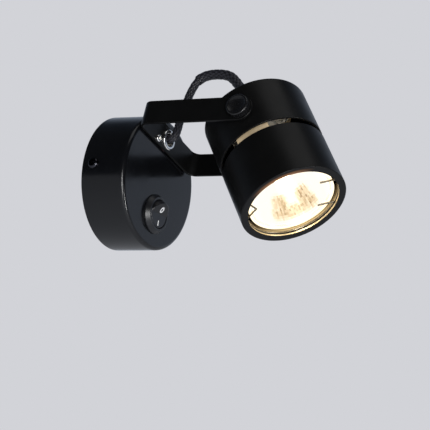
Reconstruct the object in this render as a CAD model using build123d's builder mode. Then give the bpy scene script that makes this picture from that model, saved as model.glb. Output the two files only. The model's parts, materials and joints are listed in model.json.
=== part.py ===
from build123d import *
import os
from math import cos, radians, sin, sqrt, tan

# Wall spotlight: a round base with a rocker switch, a yoke that swivels on the base, and a lamp head
# that tilts between the yoke's arms on two thumb screws.
# Frame: the origin is the centre of the base where it meets the wall, -Y points out into the room,
# +X is to the right as one faces the wall and +Z is up. Sizes are in millimetres and degrees.

# Base
base_diameter = 80.0
base_draft = 0.3  # radius lost from the wall to the front
base_depth = 28.4
base_wall = 1.2
base_rim = 2.5  # rounding of the front rim
hub_inset = 13.0  # swivel hub from the base's upper edge
switch_inset = 21.0  # switch from the base's lower edge

# Wall bracket inside the base
bracket_width = 20.0
bracket_thickness = 1.5
bracket_bend = 1.5
ear_height = 13.0
wall_slot_spacing = 54.0
wall_slot_length = 10.0
wall_slot_width = 4.5
cover_screw_height = 7.7  # side screws above the wall
earth_screw_x = -19.0
earth_screw_z = 5.0

# Screws
cover_screw_diameter = 4.0
cover_screw_length = 6.5
cover_head_diameter = 6.4
cover_head_height = 2.3
small_screw_diameter = 3.0
small_head_diameter = 5.5
small_head_height = 2.0
head_rounding = 0.6  # rounding of a head over its height
recess_share = 0.62  # cross recess length over head diameter
recess_width = 0.9
recess_depth = 1.2

# Terminal block
block_length = 32.0
block_width = 15.0
block_height = 12.6
block_rise = 2.0  # block above the base's centre
block_corner = 1.5
block_edge = 0.8
block_screw_spacing = 25.0
block_floor = 3.0  # under the heads of its screws
pole_count = 3
pole_pitch = 7.0
pole_bore = 3.4
clamp_wall = 0.6
clamp_length = 11.0
pole_height = 5.0  # bore above the bracket
pole_screw_diameter = 3.0
pole_screw_offset = 3.0
pole_screw_length = 4.0
pole_well_diameter = 3.6

# Rocker switch
switch_hole = 20.0
switch_body = 19.8
switch_bezel = 23.5
switch_bezel_top = 20.2
switch_bezel_height = 3.2
switch_bezel_edge = 0.8  # straight part of the bezel's outside
switch_bezel_rounding = 0.3
switch_bore = 17.2
switch_body_depth = 14.0
switch_floor = 1.5
rocker_diameter = 16.7
rocker_sink = 0.1  # pressed half below the bezel's front
rocker_pivot_sink = 1.7  # pivot below the crease of the two faces
rocker_travel = 32.0
rocker_skirt = 5.0
rocker_rounding = 0.6
trunnion_diameter = 2.4
trunnion_length = 0.9
tab_width = 4.8
tab_thickness = 0.8
tab_length = 6.3
tab_spacing = 8.0
tab_in_cup = 1.0

# Swivel hub
swivel_angle = 10.4  # yoke turned clockwise from level, seen from the room
hub_diameter = 10.0
hub_bore = 7.8
hub_flange_diameter = 12.4
hub_flange_height = 1.1
hub_flange_rounding = 0.8
hub_tail = 7.0  # length of the tube behind the base's front
fibre_washer_diameter = 14.5
fibre_washer_thickness = 0.5
spring_washer_diameter = 15.0
spring_washer_thickness = 0.8
stop_washer_diameter = 15.0
stop_washer_thickness = 1.0
stop_finger_reach = 10.6
stop_finger_width = 2.6
stop_nib_diameter = 2.2
stop_nib_orbit = 10.0
hub_nut_flats = 14.0
hub_nut_thickness = 3.2

# Yoke
yoke_width = 15.0
yoke_thickness = 1.5
yoke_bend = 4.5
yoke_edge = 0.35  # rounding of the strip's edges
arm_gap = 0.65  # between the head's side and each arm
pivot_reach = 66.0  # pivot in front of the base's face
yoke_screw_across = -11.0
yoke_screw_wide = -4.9
yoke_screw_diameter = 2.5
yoke_screw_head = 4.4
yoke_screw_head_height = 1.6

# Lamp head
tilt_angle = 57.0  # from straight out of the wall, downwards
head_diameter = 61.7
head_wall = 1.2
head_back = 16.8  # back of the can behind the pivot
can_front = 15.0  # front of the can before the pivot
head_gap = 4.0  # between the can and the front ring
ring_length = 33.8
back_rounding = 1.5
front_edge = 0.5
gap_edge = 0.3  # rounding of the edges at the gap
lip_width = 4.15  # from the head's side to the opening
lip_radius = 40.0
lip_land = 2.52
collar_wall = 3.05
collar_length = 8.0

# Thumb screws
knob_diameter = 13.4
knob_height = 4.3
knob_dish = 1.6
knob_rim = 1.2
knob_rounding = 0.8
knob_flutes = 28
knob_flute_diameter = 0.9
stud_diameter = 4.0
stud_in_knob = 2.0
stud_reach = 9.0  # from the outside of the arm inwards
stud_chamfer = 0.4
saddle_diameter = 13.0
pivot_nut_flange = 9.0
pivot_nut_body = 7.6
pivot_nut_neck = 5.6
pivot_nut_depth = 4.0

# Lamp frame and lampholder
frame_width = 20.0
frame_thickness = 1.0
frame_bend = 2.0
frame_plate_diameter = 39.0
frame_web = -9.0  # front of the plate from the pivot
holder_length = 26.0
holder_width = 20.0
holder_corner = 4.0
holder_ear_length = 37.2
holder_ear_width = 9.0
holder_ear_height = 4.0
holder_boss = 17.0
holder_boss_height = 3.5
holder_screw_spacing = 29.4
holder_screw_length = 7.5
holder_pin_depth = 8.2

# Leads
lead_diameter = 1.8
lead_spacing = 2.4
lead_in_holder = 4.0

# Twist lock lamp
lamp_diameter = 50.0
lamp_rim = 3.0
lamp_rim_land = 1.4
lamp_length = 46.5  # without its pins
lamp_glass_seat = 2.0
lamp_glass_thickness = 1.6
lamp_shell = 1.8
reflector_depth = 32.5
reflector_neck = 21.6
reflector_hole = 10.4
reflector_bulge = 2.8
lamp_base_length = 24.0
lamp_base_width = 17.0
lamp_base_corner = 6.0
capsule_diameter = 9.0
capsule_front = 11.0  # tip behind the lamp's front
capsule_seat = 4.0
pin_spacing = 10.0
pin_neck = 3.0
pin_head = 4.8
pin_neck_length = 3.6
pin_length = 7.3
pin_play = 0.3
lamp_twist = 20.0

# Retaining wire
clip_wire = 1.1
clip_mouth_angle = 62.0  # middle of the wire's open side, from the pivot axis
clip_mouth_half = 21.0
clip_tip_half = 32.0
clip_tip_radius = 18.6
clip_kink_half = 15.0
clip_kink_radius = 21.0

# Cable bush and flex
bush_flange_diameter = 11.0
bush_flange_height = 2.2
bush_rounding = 1.1
bush_neck_diameter = 8.6
bush_bore = 6.8
flex_lower_diameter = 5.0
flex_upper_diameter = 6.2
flex_in_head = 1.6
flex_tail = 8.5  # behind the base's front
flex_straight = 12.0  # last straight run behind the head
flex_hub_bend = 4.8
# Corners of the flex before and after the wider sleeve starts: distance out from the base's front, and
# up across the yoke from the hub
flex_rise = [(5.9, 0), (6.5, 16), (9.2, 35)]
flex_fall = [(15, 45.6), (30, 44.6), (41.5, 37.2)]
corner_share = 0.45  # of the shorter run taken by the rounding of a corner

# Clearances
fit = 0.05  # between pieces that seat in one another
running_fit = 0.08  # around what turns
seat = 0.1  # between faces that slide on one another

base_radius = base_diameter / 2
hub_rise = base_radius - hub_inset
switch_drop = base_radius - switch_inset
head_radius = head_diameter / 2
opening_radius = head_radius - lip_width
collar_radius = head_radius - collar_wall
head_inner = head_radius - head_wall
yoke_half = head_radius + arm_gap + yoke_thickness
ring_back = can_front + head_gap
head_front = ring_back + ring_length


def cover_radius(height):
    return base_radius - base_draft * height / base_depth


# Directions and planes
out = Vector(0, -1, 0)
across = Vector(cos(radians(swivel_angle)), 0, -sin(radians(swivel_angle)))
wide = Vector(sin(radians(swivel_angle)), 0, cos(radians(swivel_angle)))
head_axis = out * cos(radians(tilt_angle)) - wide * sin(radians(tilt_angle))
hub = Vector(0, -base_depth, hub_rise)
pivot = hub + out * pivot_reach
switch_centre = Vector(0, -base_depth, -switch_drop)

wall_plane = Plane.XZ
face_plane = Plane.XZ.offset(base_depth)
base_section = Plane((0, 0, 0), x_dir=(1, 0, 0), z_dir=(0, 0, -1))
switch_section = Plane(switch_centre, x_dir=(1, 0, 0), z_dir=(0, 0, -1))
switch_side = Plane(switch_centre, x_dir=out, z_dir=(-1, 0, 0))
yoke_plane = Plane(hub, x_dir=across, z_dir=out)
yoke_section = Plane(hub, x_dir=across, z_dir=wide * -1)
yoke_side = Plane(hub, x_dir=out, z_dir=across * -1)
head_plane = Plane(pivot, x_dir=across, z_dir=head_axis)
head_section = Plane(pivot, x_dir=across, z_dir=across.cross(head_axis))
base_axis = Axis((0, 0, 0), out)
switch_axis = Axis(switch_centre, out)
hub_axis = Axis(hub, out)
lamp_axis = Axis(pivot, head_axis)

os.makedirs("parts", exist_ok=True)


def save(part, name):
    part.label = name
    export_step(part, f"parts/{name}.step")


# A flat strip bent into a U: its section, with the outside of the web at the given height
def u_section(half_width, base, reach, thickness, bend):
    with BuildSketch() as section:
        with Locations((0, base)):
            Rectangle(2 * half_width, reach, align=(Align.CENTER, Align.MIN))
        fillet(section.vertices().group_by(Axis.Y)[0], bend + thickness)
        with BuildSketch(mode=Mode.SUBTRACT) as hollow:
            with Locations((0, base + thickness)):
                Rectangle(2 * (half_width - thickness), reach - thickness, align=(Align.CENTER, Align.MIN))
            fillet(hollow.vertices().group_by(Axis.Y)[0], bend)
    return section.sketch


# A pan head screw with a cross recess: the plane is the seat under the head, facing out of it
def pan_screw(plane, head, height, shank, length):
    with BuildPart() as screw:
        with BuildSketch(plane):
            Circle(head / 2)
        extrude(amount=height)
        fillet(screw.edges().sort_by(Axis(plane.origin, plane.z_dir))[-1], height * head_rounding)
        with BuildSketch(plane):
            Circle(shank / 2)
        extrude(amount=-length)
        with BuildSketch(plane.offset(height)):
            Rectangle(head * recess_share, recess_width)
            Rectangle(recess_width, head * recess_share)
        extrude(amount=-recess_depth, mode=Mode.SUBTRACT)
    return screw.part


def small_screw(plane, length):
    return pan_screw(plane, small_head_diameter, small_head_height, small_screw_diameter, length)


# The same plane with its origin moved to a place on it
def plane_at(plane, place):
    return plane.shift_origin(plane.from_local_coords((*place, 0)))


# A point of a section or sketch, from its radius and its angle
def polar(radius, angle):
    return (radius * cos(radians(angle)), radius * sin(radians(angle)))


# A round tube along a route whose corners are rounded as far as the runs beside them allow
def round_tube(points, radii, diameter):
    with BuildPart() as tube:
        with BuildLine() as route:
            FilletPolyline(*points, radius=radii)
        path = route.wires()[0]
        with BuildSketch(Plane(path @ 0, z_dir=path % 0)):
            Circle(diameter / 2)
        sweep(path=path)
    return tube.part


def corner_radii(points):
    radii = []
    for before, corner, after in zip(points, points[1:], points[2:]):
        run_in = corner - before
        run_out = after - corner
        turn = radians(run_in.get_angle(run_out))
        radii.append(corner_share * min(run_in.length, run_out.length) / tan(turn / 2))
    return radii


# The section of a drum's inside or outside, from its radius at the wall and at its front
def drum_section(wall_radius, front_radius, depth, rounding):
    with BuildSketch() as section:
        with BuildLine():
            Polyline((0, 0), (wall_radius, 0), (front_radius, depth), (0, depth), close=True)
        make_face()
        fillet(section.vertices().sort_by_distance((front_radius, depth))[0], rounding)
    return section.sketch


# Base: a drum open at the wall, with holes for the hub, the switch and the side screws
inner_depth = base_depth - base_wall
inner_face = wall_plane.offset(inner_depth)
with BuildPart() as base_cover:
    with BuildSketch(base_section):
        add(drum_section(base_radius, cover_radius(base_depth), base_depth, base_rim))
        hollow_front = cover_radius(base_depth) - base_wall
        hollow = drum_section(base_radius - base_wall, hollow_front, inner_depth, base_rim - base_wall)
        add(hollow, mode=Mode.SUBTRACT)
    revolve(axis=base_axis)
    with BuildSketch(face_plane):
        with Locations((0, hub_rise)):
            Circle(hub_diameter / 2 + running_fit)
        with Locations((0, -switch_drop)):
            Circle(switch_hole / 2)
    extrude(amount=-2 * base_wall, mode=Mode.SUBTRACT)
    with Locations(Location((0, -cover_screw_height, 0), (0, 90, 0))):
        Cylinder(cover_screw_diameter / 2 + fit, 2 * base_diameter, mode=Mode.SUBTRACT)
    with BuildSketch(inner_face):
        with Locations((0, hub_rise - stop_nib_orbit)):
            Circle(stop_nib_diameter / 2)
    extrude(amount=-(spring_washer_thickness + stop_washer_thickness))
save(base_cover.part, "base_cover")

# Wall bracket: a strip across the base, with slots for the wall and ears for the side screws
bracket_half = sqrt((cover_radius(ear_height) - base_wall - fit) ** 2 - (bracket_width / 2) ** 2)
with BuildPart() as wall_bracket:
    with BuildSketch(base_section):
        add(u_section(bracket_half, 0, ear_height, bracket_thickness, bracket_bend))
    extrude(amount=bracket_width / 2, both=True)
    with BuildSketch(wall_plane):
        with Locations((-wall_slot_spacing / 2, 0), (wall_slot_spacing / 2, 0)):
            SlotOverall(wall_slot_length, wall_slot_width)
        with Locations((earth_screw_x, earth_screw_z)):
            Circle(small_screw_diameter / 2 + fit)
        with Locations((-block_screw_spacing / 2, block_rise), (block_screw_spacing / 2, block_rise)):
            Circle(small_screw_diameter / 2 + fit)
    extrude(amount=bracket_thickness, mode=Mode.SUBTRACT)
    with Locations(Location((0, -cover_screw_height, 0), (0, 90, 0))):
        Cylinder(cover_screw_diameter / 2 + fit, base_diameter, mode=Mode.SUBTRACT)
save(wall_bracket.part, "wall_bracket")

cover_seat = cover_radius(cover_screw_height - cover_head_diameter / 2)
with BuildPart() as cover_screws:
    for side in (-1, 1):
        side_seat = Plane((side * cover_seat, -cover_screw_height, 0), x_dir=(0, 0, 1), z_dir=(side, 0, 0))
        head = (cover_head_diameter, cover_head_height)
        add(pan_screw(side_seat, *head, cover_screw_diameter, cover_screw_length))
save(cover_screws.part, "cover_screws")

bracket_front = wall_plane.offset(bracket_thickness)
save(small_screw(plane_at(bracket_front, (earth_screw_x, earth_screw_z)), bracket_thickness), "earth_screw")

# Terminal block: poles with brass clamps, held to the bracket by a screw at each end
block_front = bracket_thickness + block_height
pole_places = [pole_pitch * (pole - (pole_count - 1) / 2) for pole in range(pole_count)]
pole_axis_height = bracket_thickness + pole_height
clamp_radius = pole_bore / 2 + clamp_wall
block_screw_places = [(side * block_screw_spacing / 2, block_rise) for side in (-1, 1)]
pole_screw_places = [
    (place, block_rise + side * pole_screw_offset) for place in pole_places for side in (-1, 1)
]
with BuildPart() as terminal_block:
    with BuildSketch(bracket_front):
        with Locations((0, block_rise)):
            RectangleRounded(block_length, block_width, block_corner)
    extrude(amount=block_height)
    fillet(terminal_block.faces().sort_by(Axis.Y)[0].edges(), block_edge)
    with Locations(*[(place, -pole_axis_height, block_rise) for place in pole_places]):
        Cylinder(clamp_radius + fit, clamp_length + 2 * fit, mode=Mode.SUBTRACT)
        Cylinder(pole_bore / 2, 2 * block_width, mode=Mode.SUBTRACT)
    with BuildSketch(wall_plane.offset(block_front)):
        with Locations(*pole_screw_places):
            Circle(pole_well_diameter / 2)
    extrude(amount=-(block_front - pole_axis_height), mode=Mode.SUBTRACT)
    with BuildSketch(bracket_front):
        with Locations(*block_screw_places):
            Circle(small_screw_diameter / 2 + fit)
    extrude(amount=block_height, mode=Mode.SUBTRACT)
    with BuildSketch(bracket_front.offset(block_floor)):
        with Locations(*block_screw_places):
            Circle(small_head_diameter / 2 + fit)
    extrude(amount=block_height, mode=Mode.SUBTRACT)
save(terminal_block.part, "terminal_block")

with BuildPart() as block_screws:
    for place in block_screw_places:
        screw_seat = plane_at(bracket_front.offset(block_floor), place)
        add(small_screw(screw_seat, block_floor + bracket_thickness))
save(block_screws.part, "block_screws")

with BuildPart() as terminal_clamps:
    with Locations(*[(place, -pole_axis_height, block_rise) for place in pole_places]):
        Cylinder(clamp_radius, clamp_length)
        Cylinder(pole_bore / 2, clamp_length, mode=Mode.SUBTRACT)
    with BuildSketch(wall_plane.offset(pole_axis_height)):
        with Locations(*pole_screw_places):
            Circle(pole_screw_diameter / 2 + fit)
    extrude(amount=2 * clamp_radius, mode=Mode.SUBTRACT)
save(terminal_clamps.part, "terminal_clamps")

# Each pole screw stands on the lead at the bottom of its clamp
pole_floor = pole_axis_height - pole_bore / 2
pole_screw_tip = pole_floor + lead_diameter + 2 * fit
with BuildPart() as terminal_screws:
    with BuildSketch(wall_plane.offset(pole_screw_tip)):
        with Locations(*pole_screw_places):
            Circle(pole_screw_diameter / 2)
    extrude(amount=pole_screw_length)
    with BuildSketch(wall_plane.offset(pole_screw_tip + pole_screw_length)):
        with Locations(*pole_screw_places):
            Rectangle(pole_screw_diameter * 2, recess_width)
    extrude(amount=-recess_depth, mode=Mode.SUBTRACT)
save(terminal_screws.part, "terminal_screws")

# Switch housing: a bezel outside the cover and a cup behind it
rocker_pivot = switch_bezel_height - rocker_sink - rocker_pivot_sink
trunnion_span = rocker_diameter + 2 * trunnion_length
tab_places = [(side * tab_spacing / 2, -switch_drop) for side in (-1, 1)]
with BuildPart() as switch_housing:
    with BuildSketch(switch_section) as cup:
        with BuildLine():
            Polyline(
                (switch_bore / 2, -switch_body_depth + switch_floor),
                (switch_bore / 2, switch_bezel_height),
                (switch_bezel_top / 2, switch_bezel_height),
                (switch_bezel / 2, switch_bezel_edge),
                (switch_bezel / 2, 0),
                (switch_body / 2, 0),
                (switch_body / 2, -switch_body_depth),
                (0, -switch_body_depth),
                (0, -switch_body_depth + switch_floor),
                close=True,
            )
        make_face()
        fillet(cup.vertices().group_by(Axis.Y)[-1], switch_bezel_rounding)
    revolve(axis=switch_axis)
    with Locations(Location((0, -base_depth - rocker_pivot, -switch_drop), (0, 90, 0))):
        Cylinder(trunnion_diameter / 2 + running_fit, trunnion_span + 2 * seat, mode=Mode.SUBTRACT)
    with BuildSketch(face_plane.offset(-switch_body_depth)):
        with Locations(*tab_places):
            Rectangle(tab_thickness + 2 * fit, tab_width + 2 * fit)
    extrude(amount=switch_floor, mode=Mode.SUBTRACT)
save(switch_housing.part, "switch_housing")

with BuildPart() as switch_tabs:
    with BuildSketch(face_plane.offset(-switch_body_depth - tab_length)):
        with Locations(*tab_places):
            Rectangle(tab_thickness, tab_width)
    extrude(amount=tab_length + switch_floor + tab_in_cup)
save(switch_tabs.part, "switch_tabs")

# Rocker: a ball about its pivot, cut by two faces; the lower half is pressed in and the upper stands out
crease = rocker_pivot + rocker_pivot_sink
with BuildPart() as switch_rocker:
    with Locations(Location((0, -base_depth - rocker_pivot, -switch_drop))):
        Sphere(rocker_diameter / 2)
    with BuildSketch(switch_side):
        with BuildLine():
            Polyline(
                (rocker_pivot - rocker_skirt, -rocker_diameter),
                (crease, -rocker_diameter),
                (crease, 0),
                (crease + rocker_diameter * tan(radians(rocker_travel)), rocker_diameter),
                (rocker_pivot - rocker_skirt, rocker_diameter),
                close=True,
            )
        make_face()
    extrude(amount=rocker_diameter, both=True, mode=Mode.INTERSECT)
    pressed_faces = switch_rocker.faces().sort_by(switch_axis)[-2:]
    fillet(pressed_faces.edges().filter_by(GeomType.CIRCLE), rocker_rounding)
    with Locations(Location((0, -base_depth - rocker_pivot, -switch_drop), (0, 90, 0))):
        Cylinder(trunnion_diameter / 2, trunnion_span)
save(switch_rocker.part, "switch_rocker")

# Hub: a hollow bolt with a rounded flange, through the yoke, its washers and the base, with a nut inside
web_back = fibre_washer_thickness
web_front = web_back + yoke_thickness
spring_back = -base_wall - spring_washer_thickness
stop_back = spring_back - stop_washer_thickness
nut_back = stop_back - hub_nut_thickness
with BuildPart() as hub_bolt:
    with BuildSketch(yoke_section) as bolt:
        with BuildLine():
            Polyline(
                (hub_bore / 2, -hub_tail),
                (hub_diameter / 2, -hub_tail),
                (hub_diameter / 2, web_front),
                (hub_flange_diameter / 2, web_front),
                (hub_flange_diameter / 2, web_front + hub_flange_height),
                (hub_bore / 2, web_front + hub_flange_height),
                close=True,
            )
        make_face()
        fillet(bolt.vertices().group_by(Axis.Y)[-1], hub_flange_rounding)
    revolve(axis=hub_axis)
save(hub_bolt.part, "hub_bolt")


# A flat washer on the hub, between two heights from the base's front
def hub_washer(diameter, back, front):
    with BuildPart() as washer:
        with BuildSketch(yoke_plane.offset(back)):
            Circle(diameter / 2)
            Circle(hub_diameter / 2 + fit, mode=Mode.SUBTRACT)
        extrude(amount=front - back)
    return washer.part


save(hub_washer(fibre_washer_diameter, 0, web_back), "fibre_washer")
save(hub_washer(spring_washer_diameter, spring_back, -base_wall), "spring_washer")

# The stop washer's finger meets the nib inside the cover before the flex is twisted too far;
# it points straight up when the yoke is level
with BuildPart() as stop_washer:
    with BuildSketch(yoke_plane.offset(stop_back)):
        Circle(stop_washer_diameter / 2)
        with Locations((0, stop_finger_reach / 2)):
            Rectangle(stop_finger_width, stop_finger_reach)
        Circle(hub_diameter / 2 + fit, mode=Mode.SUBTRACT)
    extrude(amount=stop_washer_thickness)
save(stop_washer.part, "stop_washer")

with BuildPart() as hub_nut:
    with BuildSketch(yoke_plane.offset(nut_back)):
        RegularPolygon(hub_nut_flats / 2, 6, major_radius=False)
        Circle(hub_diameter / 2 + fit, mode=Mode.SUBTRACT)
    extrude(amount=hub_nut_thickness)
save(hub_nut.part, "hub_nut")

# Yoke: a strip bent to a U, with round arm ends about the pivot
with BuildPart() as yoke:
    with BuildSketch(yoke_section):
        add(u_section(yoke_half, web_back, pivot_reach + yoke_width - web_back, yoke_thickness, yoke_bend))
    extrude(amount=yoke_width / 2, both=True)
    with BuildSketch(yoke_side):
        Rectangle(pivot_reach, yoke_width, align=(Align.MIN, Align.CENTER))
        with Locations((pivot_reach, 0)):
            Circle(yoke_width / 2)
    extrude(amount=2 * yoke_half, both=True, mode=Mode.INTERSECT)
    outline = yoke.edges().filter_by(lambda edge: edge.length > 2 * yoke_thickness)
    fillet(outline.filter_by(Axis((0, 0, 0), wide), reverse=True), yoke_edge)
    with BuildSketch(yoke_side):
        with Locations((pivot_reach, 0)):
            Circle(stud_diameter / 2 + running_fit)
    extrude(amount=2 * yoke_half, both=True, mode=Mode.SUBTRACT)
    with BuildSketch(yoke_plane.offset(web_back)):
        Circle(hub_diameter / 2 + fit)
        with Locations((yoke_screw_across, yoke_screw_wide)):
            Circle(yoke_screw_diameter / 2 + fit)
    extrude(amount=yoke_thickness, mode=Mode.SUBTRACT)
save(yoke.part, "yoke")

yoke_screw_seat = plane_at(yoke_plane.offset(web_front), (yoke_screw_across, yoke_screw_wide))
yoke_earth_screw = pan_screw(
    yoke_screw_seat, yoke_screw_head, yoke_screw_head_height, yoke_screw_diameter, yoke_thickness
)
save(yoke_earth_screw, "yoke_earth_screw")

# Rear can: a cup closed at the back, with holes for the pivots and the cable bush
with BuildPart() as rear_can:
    with BuildSketch(head_section) as cup:
        with BuildLine():
            Polyline(
                (0, -head_back),
                (head_radius, -head_back),
                (head_radius, can_front),
                (head_inner, can_front),
                (head_inner, -head_back + head_wall),
                (0, -head_back + head_wall),
                close=True,
            )
        make_face()
        fillet(cup.vertices().group_by(Axis.Y)[0].sort_by(Axis.X)[-1], back_rounding)
        fillet(cup.vertices().group_by(Axis.Y)[-1], gap_edge)
    revolve(axis=lamp_axis)
    with BuildSketch(yoke_side):
        with Locations((pivot_reach, 0)):
            Circle(stud_diameter / 2 + running_fit)
    extrude(amount=2 * head_radius, both=True, mode=Mode.SUBTRACT)
    with BuildSketch(head_plane.offset(-head_back)):
        Circle(bush_neck_diameter / 2 + fit)
    extrude(amount=head_wall, mode=Mode.SUBTRACT)
save(rear_can.part, "rear_can")

with BuildPart() as cable_bush:
    with BuildSketch(head_plane.offset(-head_back - bush_flange_height)):
        Circle(bush_flange_diameter / 2)
    extrude(amount=bush_flange_height)
    fillet(cable_bush.edges().sort_by(lamp_axis)[0], bush_rounding)
    with BuildSketch(head_plane.offset(-head_back)):
        Circle(bush_neck_diameter / 2)
    extrude(amount=head_wall)
    with BuildSketch(head_plane.offset(-head_back - bush_flange_height)):
        Circle(bush_bore / 2)
    extrude(amount=bush_flange_height + head_wall, mode=Mode.SUBTRACT)
save(cable_bush.part, "cable_bush")

# Front ring: a tube with a thicker collar and a lip that rolls inwards
lip_start = (head_radius - front_edge, head_front)
lip_drop = lip_radius - sqrt(lip_radius**2 - (lip_start[0] - opening_radius) ** 2)
lip_back = head_front - lip_drop - lip_land
collar_back = lip_back - collar_length
with BuildPart() as front_ring:
    with BuildSketch(head_section) as ring:
        with BuildLine():
            Polyline(
                (opening_radius, head_front - lip_drop),
                (opening_radius, lip_back),
                (collar_radius, lip_back),
                (collar_radius, collar_back),
                (head_inner, collar_back),
                (head_inner, ring_back),
                (head_radius, ring_back),
                (head_radius, head_front - front_edge),
            )
            RadiusArc((head_radius, head_front - front_edge), lip_start, -front_edge)
            RadiusArc(lip_start, (opening_radius, head_front - lip_drop), -lip_radius)
        make_face()
        fillet(ring.vertices().group_by(Axis.Y)[0], gap_edge)
    revolve(axis=lamp_axis)
save(front_ring.part, "front_ring")

# Thumb screws: a dished, fluted knob moulded on a threaded stud, one for each arm
knob_seat = yoke_half + seat
knob_face = yoke_half + knob_height
stud_tip = yoke_half - stud_reach
stud_end = knob_seat + stud_in_knob
knob_radius = knob_diameter / 2


# Sections and sketch planes about the pivot axis, towards one arm or the other
def pivot_section(direction):
    return Plane(pivot, x_dir=out, z_dir=out.cross(direction))


def pivot_face(direction, distance):
    return Plane(pivot + direction * distance, x_dir=out, z_dir=direction)


def thumb_knob(direction):
    with BuildPart() as knob:
        with BuildSketch(pivot_section(direction)) as half:
            with BuildLine():
                Polyline(
                    (knob_radius - knob_rim, knob_face),
                    (knob_radius, knob_face),
                    (knob_radius, knob_seat),
                    (0, knob_seat),
                    (0, knob_face - knob_dish),
                )
                TangentArc((0, knob_face - knob_dish), (knob_radius - knob_rim, knob_face), tangent=(1, 0))
            make_face()
            fillet(half.vertices().group_by(Axis.Y)[-1].sort_by(Axis.X)[-1], knob_rounding)
        revolve(axis=Axis(pivot, direction))
        with BuildSketch(pivot_face(direction, knob_seat)):
            with PolarLocations(knob_radius, knob_flutes):
                Circle(knob_flute_diameter / 2)
        extrude(amount=knob_face - knob_rounding - knob_seat, mode=Mode.SUBTRACT)
        with BuildSketch(pivot_face(direction, knob_seat)):
            Circle(stud_diameter / 2 + fit)
        extrude(amount=stud_in_knob, mode=Mode.SUBTRACT)
    return knob.part


def thumb_stud(direction):
    with BuildPart() as stud:
        with BuildSketch(pivot_face(direction, stud_tip)):
            Circle(stud_diameter / 2)
        extrude(amount=stud_end - stud_tip)
        chamfer(stud.edges().sort_by(Axis(pivot, direction))[0], stud_chamfer)
    return stud.part


for side, direction in (("near", across * -1), ("far", across)):
    save(thumb_knob(direction), f"{side}_knob")
    save(thumb_stud(direction), f"{side}_stud")

# Saddles fill the room between the round can and the flat arms
with BuildPart() as pivot_saddles:
    with BuildSketch(yoke_side):
        with Locations((pivot_reach, 0)):
            Circle(saddle_diameter / 2)
            Circle(stud_diameter / 2 + running_fit, mode=Mode.SUBTRACT)
    extrude(amount=yoke_half - yoke_thickness - seat, both=True)
    with BuildSketch(head_plane):
        Circle(head_radius + fit)
    extrude(amount=saddle_diameter, both=True, mode=Mode.SUBTRACT)
save(pivot_saddles.part, "pivot_saddles")

# Lamp frame: a strip bent to a U inside the head, which joins the can, the front ring and the lampholder
frame_half = sqrt((head_inner - fit) ** 2 - (frame_width / 2) ** 2)
frame_back = frame_web - frame_thickness
holder_screw_places = [(0, side * holder_screw_spacing / 2) for side in (-1, 1)]
with BuildPart() as lamp_frame:
    with BuildSketch(head_section):
        add(u_section(frame_half, frame_back, collar_back - seat - frame_back, frame_thickness, frame_bend))
    extrude(amount=frame_width / 2, both=True)
    with BuildSketch(head_plane.offset(frame_back)):
        Circle(frame_plate_diameter / 2)
    extrude(amount=frame_thickness)
    with BuildSketch(head_plane.offset(frame_back)):
        Circle(holder_boss / 2 + fit)
        with Locations(*holder_screw_places):
            Circle(small_screw_diameter / 2 + fit)
    extrude(amount=frame_thickness, mode=Mode.SUBTRACT)
    with BuildSketch(yoke_side):
        with Locations((pivot_reach, 0)):
            Circle(pivot_nut_neck / 2 + fit)
    extrude(amount=2 * head_radius, both=True, mode=Mode.SUBTRACT)
save(lamp_frame.part, "lamp_frame")

# Pivot nuts: threaded bushes through the frame, whose flanges stand against the can
nut_flange_seat = sqrt(head_inner**2 - (pivot_nut_flange / 2) ** 2) - fit
with BuildPart() as pivot_nuts:
    for direction in (across * -1, across):
        with BuildSketch(pivot_section(direction)):
            with BuildLine():
                Polyline(
                    (stud_diameter / 2 + fit, nut_flange_seat),
                    (pivot_nut_flange / 2, nut_flange_seat),
                    (pivot_nut_flange / 2, frame_half),
                    (pivot_nut_neck / 2, frame_half),
                    (pivot_nut_neck / 2, frame_half - frame_thickness),
                    (pivot_nut_body / 2, frame_half - frame_thickness),
                    (pivot_nut_body / 2, frame_half - frame_thickness - pivot_nut_depth),
                    (stud_diameter / 2 + fit, frame_half - frame_thickness - pivot_nut_depth),
                    close=True,
                )
            make_face()
        revolve(axis=Axis(pivot, direction))
save(pivot_nuts.part, "pivot_nuts")

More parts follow.
